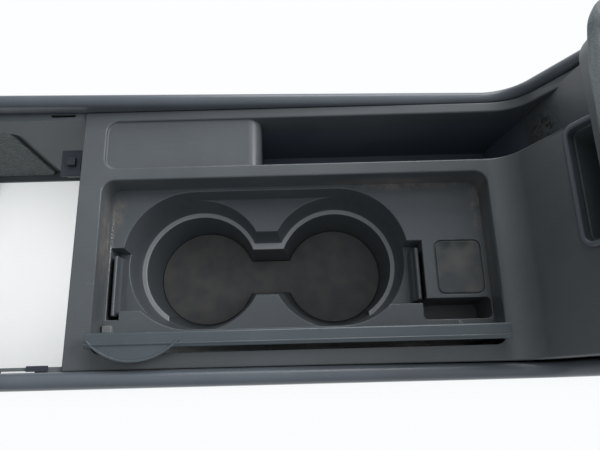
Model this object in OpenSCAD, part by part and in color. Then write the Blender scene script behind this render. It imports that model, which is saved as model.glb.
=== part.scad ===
// Car center console with a cup holder tray, a handbrake trough and an armrest box.
// X runs to the rear of the car, Y to the driver's side, Z up. The base stands on z = 0.

/* [Overall] */
// Height of the top plate above the base
plate_z = 120; // [116:1:130]
// Height of the armrest box above the base
box_z = 188; // [182:1:192]
// Wall of the large mouldings
wall = 2.5; // [2:0.1:2.8]
// Wall of the small mouldings
thin = 2; // [1.6:0.1:2.2]
// Gap between pieces that fit together
fit_gap = 0.3; // [0.2:0.05:0.4]

/* [Top trim] */
// Length of the gear lever opening in front of the plate
gear_gap_l = 172; // [160:1:180]
// Plate ahead of the tray recess
front_margin = 16; // [14:0.5:20]
// Depth of the tray below the plate
tray_drop = 20; // [16:0.5:22]
// Corner radius of the tray recess
recess_r = 7.5; // [5:0.5:10]
// Plate strip between the left rail and the recess
left_margin = 10; // [9:0.5:11]
// Ridge between the recess and the handbrake trough
ridge_w = 9; // [8.5:0.25:10]
// Plate behind the recess before the rear sweep
rear_margin = 14; // [14:0.5:18]
// Angle of the rear sweep
sweep_angle = 65; // [62:1:66]
// Radius at the foot of the rear sweep
sweep_r = 21; // [18:0.5:21.5]

/* [Handbrake trough] */
// Width of the handbrake trough
trough_w = 35; // [34:0.5:36]
// Plate strip between the handbrake trough and the right rail
right_margin = 7.5; // [6.5:0.25:9]
// Depth of the shallow front pan of the trough
pan_drop = 2.5; // [2:0.25:4]
// Length of the shallow front pan
pan_l = 97; // [92:1:104]
// Radius of the pan's front corners
pan_r = 8; // [5:0.5:10]
// Radius of the bend from the pan down into the well
bend_r = 9; // [8:0.5:12]
// Depth of the well below the plate
well_drop = 78; // [70:1:84]
// Slope of the well's rear wall
well_end_angle = 81; // [79:0.5:83]
// Width of the lever slot in the well's floor
lever_slot_w = 16; // [12:0.5:20]
// Length of the lever slot in the well's floor
lever_slot_l = 90; // [80:1:100]

/* [Rails] */
// Width of the left rail
left_rail_w = 10; // [9.5:0.25:10.5]
// Width of the right rail
right_rail_w = 9; // [8.5:0.25:9.5]
// Height of the rail's crown above the plate at the rear of the recess
rail_rise = 0.9; // [0.5:0.1:3]
// Fall of the rail from the front to the rear
rail_fall = 2.2; // [1.5:0.1:2.6]
// Radius of the rail's upward bend
rail_bend_r = 30; // [26:1:36]
// Angle of the rail's rising part
rail_angle = 60; // [56:1:62]
// Radius of the rail's bend at the armrest box
rail_top_r = 24; // [22:1:28]
// Depth of the rail's outer skirt
rail_skirt = 22; // [18:1:26]

/* [Cup holder] */
// Distance from the front of the recess to the first cup's centre
cup_inset = 58; // [56:0.5:60]
// Distance between the cups' centres
cup_pitch = 99.5; // [97:0.5:101]
// Tray between the cups and the recess's right side
cup_margin = 2.5; // [2:0.25:3]
// Tray between the lid's slot and the cups
slot_strip = 4.5; // [4:0.25:6]
// Radius of each cup at the tray
cup_top_r = 48; // [47:0.25:48.5]
// Depth of the deck between the cups below the tray
deck_drop = 18; // [15:0.5:20]
// Half width of the waist at the deck
deck_waist = 23; // [21:0.5:25]
// Depth of the step ring below the tray
ring_drop = 37; // [34:0.5:40]
// Outer radius of the step ring
ring_r = 44; // [43:0.25:45]
// Width of the step ring
ring_w = 3; // [2.5:0.25:3.5]
// Half width of the waist at the step ring
ring_waist = 19; // [18:0.5:20]
// Width of the step ring at the waist
ring_waist_w = 4.5; // [4:0.25:5]
// Depth of the cups' floor below the tray
cup_drop = 72; // [66:1:76]
// Radius of each cup at its floor
cup_floor_r = 37.2; // [36:0.2:38.5]
// Half width of the waist at the floor
floor_waist = 13.4; // [12.5:0.1:14]
// Thickness of the rubber mat
mat_t = 1.5; // [1:0.25:2.5]
// Width of the end pockets along the cups
pocket_w = 43; // [40:0.5:45]
// Length of the latch tongues in the end pockets
tongue_l = 35; // [32:0.5:37]
// Extra length of the front latch tongue
tongue_ext = 6; // [3:0.5:7]
// Thickness of each latch tongue
tongue_t = 5.6; // [5.2:0.1:6.4]
// Length of the coin pocket
coin_l = 45; // [42:0.5:45.5]
// Width of the coin pocket
coin_w = 13.8; // [12:0.2:14]
// Depth of the coin pocket
coin_drop = 34; // [25:1:40]
// Length of the rubber coin pad along the console
pad_l = 30; // [26:0.5:31]
// Width of the rubber coin pad across the console
pad_w = 35.5; // [32:0.5:36]
// Thickness of the coin pad
pad_t = 1.6; // [1.2:0.1:2]
// Diameter of the small rubber stop
stop_d = 4; // [3:0.25:5]

/* [Sliding lid] */
// Thickness of the lid
lid_t = 6; // [5.5:0.1:6.2]
// Height of the lid
lid_h = 108; // [104:0.5:109]
// Gap at each end of the lid
lid_end_gap = 0.8; // [0.6:0.1:1.2]
// Width of the slot for the lid
slot_w = 11.5; // [11:0.25:12]
// Width of the lid's cap
cap_w = 9.4; // [8.5:0.1:9.8]
// Height of the lid's cap
cap_h = 6; // [5:0.25:7]
// Height of the stowed lid above the plate
lid_stand = 12; // [10.5:0.5:14]
// Chord of the thumb tab
tab_chord = 52; // [44:1:56]
// Reach of the thumb tab
tab_reach = 10.5; // [8:0.5:10.5]
// Thickness of the thumb tab
tab_t = 3; // [2.4:0.2:3.6]
// Height of the raised rim round the thumb tab
tab_rim = 0.8; // [0.4:0.1:1]
// Diameter of the lid's guide pins
pin_d = 4; // [3.5:0.1:4.2]
// Thickness of each guide channel
guide_t = 5.7; // [5.4:0.1:6]

/* [Armrest] */
// Height of the armrest over the box
arm_h = 40; // [36:1:44]
// Height of the armrest's hard shell
shell_h = 14; // [13:0.5:16]
// Forward overhang of the armrest over the storage box
arm_over = 47.5; // [40:0.5:48]
// Setback of the hard shell under the armrest's nose
arm_setback = 14; // [10:0.5:18]
// Plan corner radius of the armrest
arm_r = 24; // [18:1:28]
// Diameter of the hinge pins
hinge_d = 5; // [4:0.5:6]
// Gap under the armrest
arm_gap = 3; // [2.6:0.1:3.4]
// Length of the storage bin
bin_l = 159; // [150:1:180]
// Depth of the storage bin
bin_drop = 120; // [90:1:130]
// Distance between the hinge bracket's screws
hinge_pitch = 30; // [24:1:40]

/* [Front] */
// Thickness of the felt pad
felt_t = 3; // [2:0.25:3.5]
// Distance of the felt pad ahead of the plate
felt_back = 70; // [66:1:80]
// Height of the arch in the right inner carrier
arch_z = 105; // [95:1:110]
// Radius of the arch's corner
arch_r = 40; // [34:1:44]

/* [Fixing] */
// Distance of the floor bolts from the console's ends
bolt_inset = 27; // [26:0.5:32]
// Distance of the floor bolts from the console's sides
bolt_side = 22; // [20:0.5:24]
// Diameter of the floor bolt holes
bolt_d = 6.5; // [5.5:0.1:8.5]

/* [Hidden] */
$fn = 64;

eps = 0.01;
arc_n = 10;
left_gap = 0.4;

// Recess, sized by the cups, the lid's slot and the coin pocket
recess_l = 2 * cup_inset + cup_pitch + coin_l - 2.5;
recess_w = slot_w + slot_strip + 2 * cup_top_r + cup_margin;

// Whole console, sized by its rows of features
lip_back = 25;
box_rim = wall + 2;
bin_front = 12;
bin_rear = 24;
top_l = gear_gap_l + front_margin + recess_l + lip_back + (box_z - plate_z) / tan(rail_angle);
console_l = top_l + box_rim + bin_front + bin_l + bin_rear;
trim_w = left_margin + recess_w + ridge_w + trough_w + right_margin;
half_w = (left_rail_w + left_gap + trim_w + right_rail_w) / 2;
bolt_x = console_l - 2 * bolt_inset;
bolt_y = 2 * (half_w - bolt_side);
x_front = -console_l / 2;
x_rear = console_l / 2;
x_cross = x_front + wall;
x_inner = x_cross + wall;
x_plate = x_front + gear_gap_l;
x_rec0 = x_plate + front_margin;
x_rec1 = x_rec0 + recess_l;
y_left = -(half_w - left_rail_w - left_gap);
y_right = half_w - right_rail_w;
y_rec0 = y_left + left_margin;
y_rec1 = y_rec0 + recess_w;
y_tr0 = y_rec1 + ridge_w;
y_tr1 = y_tr0 + trough_w;
tray_z = plate_z - tray_drop;
panel_y = half_w - 1.5;
panel_in = panel_y - wall;
rail_seat = 7;

// Foot of the rear sweep's straight face, prolonged down to the plate
x_sweep = x_rec1 + rear_margin;
x_sweep_top = x_sweep + (box_z - plate_z) / tan(sweep_angle);

// Handbrake well
x_bend = x_rec0 + pan_l;
x_well0 = x_bend + bend_r;
well_z = plate_z - well_drop;
x_well_top = x_sweep_top + 3;
function well_end_x(z) = x_well_top - (box_z - z) / tan(well_end_angle);
seam_low = plate_z - 22;
seam_high = plate_z - 11;
x_seam = x_well0 + 55;

// Cups
cup_x = [x_rec0 + cup_inset, x_rec0 + cup_inset + cup_pitch];
cup_y = y_rec1 - cup_margin - cup_top_r;
cup_mid_x = (cup_x[0] + cup_x[1]) / 2;
deck_z = tray_z - deck_drop;
ring_z = tray_z - ring_drop;
cup_z = tray_z - cup_drop;

// Lid
slot_y0 = y_rec0;
slot_y1 = y_rec0 + slot_w;
lid_y0 = slot_y1 - 1 - lid_t;
lid_y1 = slot_y1 - 1;
lid_x0 = x_rec0 + lid_end_gap;
lid_x1 = x_rec1 - lid_end_gap;
lid_z1 = plate_z + lid_stand;
lid_z0 = lid_z1 - lid_h;
lid_pin_z = lid_z0 + pin_d;
lid_pin_y = (lid_y0 + lid_y1) / 2;
cap_y1 = slot_y1 + 0.6;
cap_y0 = cap_y1 - cap_w;
pin_reach = 4.4;
guide_y0 = lid_y0 - 3.5;
guide_y1 = slot_y1 - fit_gap;

// Armrest
arm_z0 = box_z + arm_gap;
arm_z1 = arm_z0 + arm_h;
arm_x1 = x_rear - 4.5;
hinge_x = x_rear - 11;
hinge_z = box_z + 11;
ear_y = 53;
ear_t = 3;

// Points of an arc about c, from angle a0 to a1
function arc(c, r, a0, a1, n = arc_n) =
    [for (i = [0:n]) let (a = a0 + (a1 - a0) * i / n) [c[0] + r * cos(a), c[1] + r * sin(a)]];

// Side line of the rails' crown in X and Z, lowered by d
rail_z_ref = plate_z + rail_rise;
rail_x_ref = x_rec1 + 2;
rail_turn = rail_angle + rail_fall;
rail_corner_x = x_rec1 + lip_back - 4;
rail_corner_z = rail_z_ref - (rail_corner_x - rail_x_ref) * tan(rail_fall);
rail_t1 = rail_bend_r * tan(rail_turn / 2);
rail_top_z = box_z + 1;
rail_corner2_x = rail_corner_x + (rail_top_z - rail_corner_z) / tan(rail_angle);
rail_t2 = rail_top_r * tan(rail_angle / 2);
bend1_start = [rail_corner_x - rail_t1 * cos(rail_fall), rail_corner_z + rail_t1 * sin(rail_fall)];
bend1_c = [bend1_start[0] + rail_bend_r * sin(rail_fall), bend1_start[1] + rail_bend_r * cos(rail_fall)];
bend2_end = [rail_corner2_x + rail_t2, rail_top_z];
bend2_c = [bend2_end[0], rail_top_z - rail_top_r];
front_crown_z = rail_corner_z + (rail_corner_x - x_front) * tan(rail_fall);
function crown(d) = concat(
    [[x_front, front_crown_z - d / cos(rail_fall)]],
    arc(bend1_c, rail_bend_r + d, -90 - rail_fall, -90 + rail_angle),
    arc(bend2_c, rail_top_r - d, 90 + rail_angle, 90),
    [[x_rear, rail_top_z - d]]);

// Line at plate level that bends up at x_c, set d below the surface
function bent_line(x_c, angle, r, d) = concat(
    [[x_plate, plate_z - d]],
    arc([x_c - r * tan(angle / 2), plate_z + r], r + d, -90, -90 + angle),
    [[x_c + ((box_z - plate_z) * cos(angle) + d) / sin(angle), box_z]]);
function sweep_line(d) = bent_line(x_sweep, sweep_angle, sweep_r, d);
x_lip = x_rec1 + lip_back;
x_lip_top = x_lip + (box_z - plate_z) / tan(rail_angle);
x_box = x_lip_top + box_rim;
arm_front = x_box - arm_over;
function lip_line(d) = bent_line(x_lip, rail_angle, rail_bend_r, d);
function rev(v) = [for (i = [len(v) - 1:-1:0]) v[i]];

// A flat shape in X and Z, drawn out from y0 to y1
module along_y(y0, y1) {
    translate([0, y1, 0])
        rotate([90, 0, 0])
            linear_extrude(y1 - y0)
                children();
}

// A block between two corners
module block(a, b) {
    translate(a)
        cube(b - a);
}

// A flat rounded rectangle between two corners
module round_rect(x0, x1, y0, y1, r) {
    translate([x0 + r, y0])
        square([x1 - x0 - 2 * r, y1 - y0]);
    translate([x0, y0 + r])
        square([x1 - x0, y1 - y0 - 2 * r]);
    for (x = [x0 + r, x1 - r], y = [y0 + r, y1 - r])
        translate([x, y])
            circle(r);
}

module slab(x0, x1, y0, y1, z0, z1, r) {
    translate([0, 0, z0])
        linear_extrude(z1 - z0)
            round_rect(x0, x1, y0, y1, r);
}

// Side panels, each with a floor flange, a front flange and two bolt feet
foot_l = 36;
foot_t = 4;
gusset_h = 26;
foot_in = bolt_y / 2 - 14;
flange_w = 20;
module side_panel() {
    along_y(panel_in, panel_y)
        polygon(concat([for (p = crown(rail_seat)) if (p[0] < x_rear - wall) p],
            [[x_rear - wall, rail_top_z - rail_seat], [x_rear - wall, 0], [x_front, 0]]));
    block([x_inner, panel_in - 8, 0], [x_rear - wall, panel_in, wall]);
    block([x_front, panel_in - flange_w, 0], [x_cross, panel_in, plate_z - wall]);
    for (x = [-bolt_x / 2, bolt_x / 2])
        foot(x);
}

module foot(x) {
    difference() {
        union() {
            block([x - foot_l / 2, foot_in, 0], [x + foot_l / 2, panel_in, foot_t]);
            for (s = [-1, 1])
                translate([x + s * (foot_l / 2 - 1.5), 0, foot_t])
                    rotate([90, 0, 90])
                        linear_extrude(wall, center = true)
                            polygon([[foot_in + 4, 0], [panel_in, 0], [panel_in, gusset_h]]);
        }
        translate([x, bolt_y / 2, -1])
            cylinder(d = bolt_d, h = foot_t + 2);
    }
}

// Ledge along the inside of the left panel, with a slot for the spring clips
ledge_x1 = x_plate - fit_gap;
strap_w = 2;
slot_x0 = x_plate - 39;
slot_x1 = x_plate - 17;
slot_pitch = 60;
ledge_y = y_left + 3.5;
module side_panel_left() {
    color([0.27, 0.28, 0.29]) {
        mirror([0, 1, 0])
            side_panel();
        difference() {
            block([x_inner, -panel_in, plate_z - 2 * wall], [ledge_x1, ledge_y, plate_z - wall]);
            for (x = [[slot_x0, slot_x1], [slot_x0 - slot_pitch, slot_x0 - 12]])
                block([x[0], y_left - 1, plate_z - 3 * wall], [x[1], ledge_y - strap_w, plate_z]);
        }
    }
}

module side_panel_right() {
    color([0.27, 0.28, 0.29])
        side_panel();
}

// Rail: a rounded bead whose groove sits on the panel's top edge, swept along the crown line
rail_inner = 12;
function rail_profile(w) = concat(
    arc([w / 2, -w / 2], w / 2, 0, 180, 14),
    [[0, -rail_inner], [w - 1.7 - wall, -rail_inner], [w - 1.7 - wall, -rail_seat],
    [w - 1.3, -rail_seat], [w - 1.3, -rail_skirt], [w, -rail_skirt]]);

// Stations along the crown: X, Z and the slope there
function bend_stations(c, r, a0, a1, turn) =
    [for (i = [0:rail_n]) let (a = a0 + (a1 - a0) * i / rail_n) [c[0] + r * cos(a), c[1] + r * sin(a), a + turn]];
rail_n = 16;
rail_x0 = x_front + rail_skirt * sin(rail_fall);
rail_path = concat(
    [[rail_x0, front_crown_z - (rail_x0 - x_front) * tan(rail_fall), -rail_fall]],
    bend_stations(bend1_c, rail_bend_r, -90 - rail_fall, -90 + rail_angle, 90),
    bend_stations(bend2_c, rail_top_r, 90 + rail_angle, 90, -90),
    [[x_rear - wall, rail_top_z, 0]]);

module rail(w) {
    section = rail_profile(w);
    n = len(section);
    ends = len(rail_path) - 1;
    polyhedron(
        points = [for (s = rail_path, p = section)
            [s[0] - p[1] * sin(s[2]), half_w - w + p[0], s[1] + p[1] * cos(s[2])]],
        faces = concat(
            [[for (j = [0:n - 1]) j], [for (j = [n - 1:-1:0]) ends * n + j]],
            [for (i = [0:ends - 1], j = [0:n - 1])
                [i * n + j, (i + 1) * n + j, (i + 1) * n + (j + 1) % n, i * n + (j + 1) % n]]),
        convexity = 6);
}

module rail_left() {
    color([0.35, 0.37, 0.39])
        mirror([0, 1, 0])
            rail(left_rail_w);
}

module rail_right() {
    color([0.35, 0.37, 0.39])
        rail(right_rail_w);
}

// Top trim: plate, tray recess, handbrake trough and rear sweep in one moulding
seam = [[x_well0, seam_low], [x_seam, seam_low], [well_end_x(seam_high), seam_high]];
pan_c = [x_bend, plate_z - pan_drop - bend_r];
module trough_wall(y0, top) {
    along_y(y0, y0 + wall)
        polygon(concat(top, rev(concat(
            [[x_rec0 - wall, plate_z - pan_drop - wall], [x_bend, plate_z - pan_drop - wall]],
            [[x_well0 - wall, pan_c[1]]], [[x_well0 - wall, seam_low]],
            [seam[1], seam[2] + [wall, 0]], [[well_end_x(box_z) + wall, box_z]]))));
}

function past_recess(line) = concat([[x_rec0 - wall, plate_z]], [for (i = [1:len(line) - 1]) line[i]]);
module trough_floor() {
    along_y(y_tr0 - wall, y_tr1 + wall) {
        polygon(concat([[x_rec0 - wall, plate_z - pan_drop]], arc(pan_c, bend_r, 90, 0), [[x_well0, seam_low]],
            rev(concat([[x_rec0 - wall, plate_z - pan_drop - wall]], arc(pan_c, bend_r - wall, 90, 0),
                [[x_well0 - wall, seam_low]]))));
        polygon([[well_end_x(seam_high), seam_high], [well_end_x(box_z), box_z],
            [well_end_x(box_z) + wall, box_z], [well_end_x(seam_high) + wall, seam_high]]);
    }
}

// Fillets in the pan's two front corners
module pan_corners() {
    for (s = [0, 1])
        translate([x_rec0 - eps, (s == 0) ? y_tr0 - eps : y_tr1 + eps, plate_z - pan_drop - wall])
            mirror([0, s, 0])
                linear_extrude(pan_drop + wall)
                    difference() {
                        square(pan_r);
                        translate([pan_r, pan_r])
                            circle(pan_r);
                    }
}

// Local frame on the rear sweep: x up the slope, z out of its face
return_w = 14;
bezel_l = 75.5;
bezel_w = 26;
bezel_lip = 3.5;
bezel_t = 2.4;
pocket_depth = 30;
bezel_y = (y_tr0 - 0.5) - bezel_l / 2;
bezel_s0 = (box_z - plate_z) / sin(sweep_angle) - bezel_w / 2 - 2;
module on_sweep(s) {
    translate([x_sweep + s * cos(sweep_angle), bezel_y, plate_z + s * sin(sweep_angle)])
        rotate([0, -sweep_angle, 0])
            children();
}

module top_trim() {
    color([0.36, 0.38, 0.4])
        difference() {
            union() {
                along_y(y_left, y_tr0)
                    polygon(concat(sweep_line(0), rev(sweep_line(wall))));
                along_y(y_left, y_left + wall)
                    polygon(concat(sweep_line(0), [[x_lip_top, box_z]], rev(sweep_line(return_w))));
                along_y(y_tr1, y_right)
                    polygon(concat(lip_line(0), rev(lip_line(wall))));
                block([x_plate, y_tr0 - eps, plate_z - wall], [x_rec0, y_tr1 + eps, plate_z]);
                trough_floor();
                pan_corners();
                trough_wall(y_tr0 - wall, past_recess(sweep_line(0)));
                trough_wall(y_tr1, past_recess(lip_line(0)));
                slab(x_rec0 - wall, x_rec1 + wall, y_rec0 - wall, y_rec1 + wall, tray_z, plate_z, recess_r + wall);
                block([x_plate, ledge_y + fit_gap, plate_z - 4 * wall], [x_plate + wall, carrier_y - fit_gap, plate_z]);
                block([x_sweep_top, y_left, box_z - wall], [x_box, y_tr0, box_z]);
                block([well_end_x(box_z), y_tr0 - wall, box_z - wall], [x_box, y_tr1 + wall, box_z]);
                block([x_lip_top, y_tr1, box_z - wall], [x_box, y_right, box_z]);
            }
            slab(x_rec0, x_rec1, y_rec0, y_rec1, tray_z - 1, plate_z + 1, recess_r);
            for (x = [[x_rec0 - wall - 1, x_rec0 + 1], [x_rec1 - 1, x_rec1 + wall + 1]])
                block([x[0], guide_y0 - fit_gap, tray_z - 1], [x[1], guide_y1 + fit_gap, plate_z - wall]);
            on_sweep(bezel_s0)
                translate([0, 0, -wall - 2])
                    linear_extrude(wall + 3)
                        bezel_shape(1.5, 6.2);
        }
}

// Lower liner of the handbrake well, which clasps the trim's walls from outside
liner_gap = wall + fit_gap;
liner_lap = 5;
module well_liner() {
    y0 = y_tr0 - liner_gap;
    y1 = y_tr1 + liner_gap;
    xl = x_well0 - liner_gap;
    low = seam_low + liner_lap;
    high = seam_high + liner_lap;
    color([0.16, 0.17, 0.18])
        difference() {
            along_y(y0 - thin, y1 + thin)
                polygon([[xl - thin, low], [xl - thin, well_z - thin], [well_end_x(well_z) + liner_gap + thin, well_z - thin],
                    [well_end_x(high) + liner_gap + thin, high], [x_seam, low]]);
            along_y(y0, y1)
                polygon([[xl, low + 20], [xl, well_z], [well_end_x(well_z) + liner_gap, well_z],
                    [well_end_x(high + 20) + liner_gap, high + 20]]);
            translate([(x_well0 + well_end_x(well_z)) / 2, (y_tr0 + y_tr1) / 2, well_z - 2 * thin])
                linear_extrude(3 * thin)
                    round_rect(-lever_slot_l / 2, lever_slot_l / 2, -lever_slot_w / 2, lever_slot_w / 2, lever_slot_w / 2 - eps);
        }
}

// The hollow of both cups, grown outward by g and stretched down by the floor f
module cup_level(z0, z1, r0, r1, w0, w1) {
    for (x = cup_x)
        translate([x, cup_y, z0])
            cylinder(h = z1 - z0, r1 = r0, r2 = r1, $fn = 96);
    translate([cup_x[0], cup_y, 0])
        rotate([90, 0, 90])
            linear_extrude(cup_pitch)
                polygon([[-w0, z0], [w0, z0], [w1, z1], [-w1, z1]]);
}

// The ring fades out along the near side, where the wall runs straight down
near_x = 23;
module cup_near_wall(g, f) {
    intersection() {
        cup_level(cup_z - f, ring_z, cup_floor_r + g, ring_r + g, floor_waist + g, ring_waist + g);
        block([cup_x[0] - near_x - g, cup_y - cup_top_r - 2 * g, cup_z - f - 1],
            [cup_x[1] + near_x + g, cup_y - 2 + g, ring_z + eps]);
    }
}

module cup_hollow(g, f) {
    cup_near_wall(g, f);
    cup_level(cup_z - f, ring_z, cup_floor_r + g, ring_r - ring_w + g, floor_waist + g, ring_waist - ring_waist_w + g);
    cup_level(ring_z - f, deck_z, ring_r + g, cup_top_r + g, ring_waist + g, deck_waist + g);
    cup_level(deck_z - f, tray_z + (f > 0 ? 0 : 1), cup_top_r + g, cup_top_r + g, cup_top_r + g, cup_top_r + g);
}

pocket_x0 = x_rec0 + thin;
pocket_x1 = 2 * cup_mid_x - pocket_x0 + 1.5;
pocket_y1 = cup_y + 8.5;
pocket_y0 = pocket_y1 - pocket_w;
pocket_slit = tongue_t + 2.6;
module latch_tongue(s, ext) {
    y0 = pocket_y0 + (pocket_w - tongue_l) / 2 - 1.5;
    along_y(y0 - ext, y0 + tongue_l)
        mirror([s, 0]) {
            polygon([[0, deck_z - eps], [tongue_t, deck_z - eps], [tongue_t, tray_z - 7], [tongue_t - 1.6, tray_z - 4.5],
                [tongue_t - 1.6, tray_z], [1.6, tray_z], [1.2, tray_z - 3], [0, tray_z - 5]]);
            translate([tongue_t / 2, tray_z])
                circle(d = tongue_t - 3.2, $fn = 24);
        }
}

coin_x1 = x_rec1 - 0.5;
coin_x0 = coin_x1 - coin_l;
coin_y0 = y_rec0 + slot_w + 7;
coin_y1 = coin_y0 + coin_w;
pad_x1 = x_rec1 - 4;
pad_y1 = cup_y + 7.2;
module cup_holder_insert() {
    color([0.24, 0.25, 0.26])
        difference() {
            union() {
                difference() {
                    union() {
                        slab(x_rec0 - wall, x_rec1 + wall, slot_y1, y_rec1 + wall, tray_z - thin, tray_z, recess_r);
                        cup_hollow(thin, thin);
                        block([pocket_x0 - thin, pocket_y0 - thin, deck_z - thin], [cup_x[0], pocket_y1 + thin, tray_z]);
                        block([pocket_x0 - thin, pocket_y0 - tongue_ext - thin, deck_z - thin],
                            [pocket_x0 + pocket_slit + thin, pocket_y0, tray_z]);
                        block([cup_x[1], pocket_y0 - thin, deck_z - thin], [pocket_x1 + thin, pocket_y1 + thin, tray_z]);
                        block([coin_x0 - thin, coin_y0 - thin, tray_z - coin_drop - thin], [coin_x1 + thin, coin_y1 + thin, tray_z]);
                        block([x_rec0 + 1, slot_y1, tray_z - 12], [x_rec1 - 1, slot_y1 + thin, tray_z]);
                    }
                    cup_hollow(0, 0);
                    block([pocket_x0, pocket_y0, deck_z], [cup_x[0], pocket_y1, tray_z + 1]);
                    block([pocket_x0, pocket_y0 - tongue_ext, deck_z], [pocket_x0 + pocket_slit, pocket_y1, tray_z + 1]);
                    block([cup_x[1], pocket_y0, deck_z], [pocket_x1, pocket_y1, tray_z + 1]);
                    slab(coin_x0, coin_x1, coin_y0, coin_y1, tray_z - coin_drop, tray_z + 1, 3);
                }
                translate([pocket_x0 + 1.4, 0, 0])
                    latch_tongue(0, tongue_ext);
                translate([pocket_x1 - 1.6, 0, 0])
                    latch_tongue(1, 0);
            }
            slab(pad_x1 - pad_l - 0.8, pad_x1 + 0.8, pad_y1 - pad_w - 0.8, pad_y1 + 0.8, tray_z - 1, tray_z + 1, 5);
            translate([coin_x1 - 22, slot_y1 + 4, tray_z - thin - 1])
                cylinder(d = stop_d - 1, h = thin + 2);
        }
}

module cup_mat() {
    color([0.17, 0.17, 0.17])
        cup_level(cup_z, cup_z + mat_t, cup_floor_r - fit_gap, cup_floor_r - fit_gap, floor_waist - fit_gap, floor_waist - fit_gap);
}

module coin_pad() {
    color([0.28, 0.3, 0.32])
        slab(pad_x1 - pad_l, pad_x1, pad_y1 - pad_w, pad_y1, tray_z - 1, tray_z - 1 + pad_t, 4.2);
}

module tray_stop() {
    color([0.45, 0.46, 0.46])
        translate([coin_x1 - 22, slot_y1 + 4, 0]) {
            translate([0, 0, tray_z - thin - 1])
                cylinder(d = stop_d - 1 - 2 * fit_gap, h = thin + 1 + eps);
            translate([0, 0, tray_z])
                cylinder(d1 = stop_d, d2 = stop_d - 1, h = 2);
        }
}

// Lid stowed on edge in its slot, with the thumb tab at its front end
tab_x = lid_x0 + 3 + tab_chord / 2;
tab_r = (pow(tab_chord / 2, 2) + pow(tab_reach, 2)) / (2 * tab_reach);
rib_d = 1.4;
module lid_section() {
    translate([lid_y0, lid_z0])
        square([lid_t, lid_h - cap_h + 1]);
    round_rect(cap_y0, cap_y1, lid_z1 - cap_h, lid_z1 - rib_d / 2, 1.6);
    translate([cap_y0 + 2, lid_z1 - rib_d / 2])
        circle(d = rib_d, $fn = 24);
}

module thumb_tab() {
    cylinder(r = tab_r, h = tab_t, $fn = 128);
    difference() {
        cylinder(r = tab_r, h = tab_t + tab_rim, $fn = 128);
        translate([0, 0, -1])
            cylinder(r = tab_r - 1.5, h = tab_t + 3, $fn = 128);
    }
}

module lid_panel() {
    color([0.36, 0.38, 0.41])
        difference() {
            union() {
                translate([lid_x0, 0, 0])
                    rotate([90, 0, 90])
                        linear_extrude(lid_x1 - lid_x0)
                            lid_section();
                intersection() {
                    translate([tab_x, lid_y0 - tab_reach + tab_r, lid_z1 - tab_rim - tab_t])
                        thumb_tab();
                    block([lid_x0, lid_y0 - 2 * tab_reach, 0], [lid_x1, lid_y1 - lid_t / 2, lid_z1]);
                }
            }
            for (x = [lid_x0 - 1, lid_x1 - 8])
                translate([x, lid_pin_y, lid_pin_z])
                    rotate([0, 90, 0])
                        cylinder(d = pin_d + 0.04, h = 9);
        }
}

module lid_pins() {
    color([0.6, 0.61, 0.62])
        for (x = [lid_x0 - pin_reach, lid_x1 - 7.5])
            translate([x, lid_pin_y, lid_pin_z])
                rotate([0, 90, 0])
                    cylinder(d = pin_d, h = pin_reach + 7.5);
}

// Guide channel for one lid pin, closed below, open towards the lid
module lid_guide(x, s) {
    z0 = lid_pin_z - pin_d / 2 - 4;
    groove_w = pin_d + 2 * fit_gap;
    translate([x, 0, 0])
        mirror([s, 0, 0])
            difference() {
                block([-guide_t, guide_y0, z0], [-fit_gap / 2, guide_y1, plate_z - wall]);
                block([-pin_reach - 2 * fit_gap, lid_pin_y - groove_w / 2, lid_pin_z - groove_w / 2], [1, lid_pin_y + groove_w / 2, plate_z]);
            }
}

module lid_guide_front() {
    color([0.2, 0.2, 0.21])
        lid_guide(x_rec0, 0);
}

module lid_guide_rear() {
    color([0.2, 0.2, 0.21])
        lid_guide(x_rec1, 1);
}

// Small catch block at the front end of the slot
module lid_catch() {
    color([0.5, 0.52, 0.52])
        block([x_rec0 + 1, slot_y1 + 3, tray_z], [x_rec0 + 7.5, slot_y1 + 8, tray_z + 4]);
}

module front_crossmember() {
    y = panel_in;
    color([0.22, 0.23, 0.24])
        difference() {
            block([x_cross, -y, 0], [x_inner, y, plate_z - wall]);
            translate([x_front, 0, 0])
                rotate([90, 0, 90])
                    linear_extrude(3 * wall)
                        round_rect(-y + 24, y - 24, 46, plate_z + 40, 12);
        }
}

// Inner carrier beside the gear lever opening, arched to its front
carrier_y = y_right - 2 - wall;
module carrier_right() {
    x0 = x_inner;
    x1 = x_plate + 14;
    win_x1 = x_plate - 43;
    color([0.3, 0.31, 0.32]) {
        difference() {
            block([x0, carrier_y, 2 * wall], [x1, carrier_y + wall, plate_z - wall]);
            along_y(carrier_y - 1, carrier_y + wall + 1)
                round_rect(x0 + 30, win_x1, -40, arch_z, arch_r);
            block([x0 - 1, carrier_y - 1, 0], [felt_x0, carrier_y + wall + 1, foot_t + gusset_h + 1]);
        }
        difference() {
            block([x0, carrier_y, plate_z - 2 * wall], [x1, panel_in, plate_z - wall]);
            block([x_plate - 25, carrier_y + wall, plate_z - 3 * wall], [x_plate - 8, carrier_y + wall + 2, plate_z]);
        }
        block([win_x1 + 2, carrier_y + wall - eps, 2 * wall], [win_x1 + 4.5, panel_in, plate_z - 2 * wall]);
        block([win_x1 - 16, carrier_y + wall - eps, 2 * wall], [win_x1 + 3, carrier_y + wall + 2, plate_z - 2 * wall]);
    }
}

felt_x0 = x_front + bolt_inset + foot_l / 2 + fit_gap;
module felt_pad() {
    color([0.4, 0.41, 0.41])
        along_y(panel_in - felt_t, panel_in)
            round_rect(felt_x0, x_plate - felt_back, wall + fit_gap, arch_z - 13, 8);
}

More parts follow.
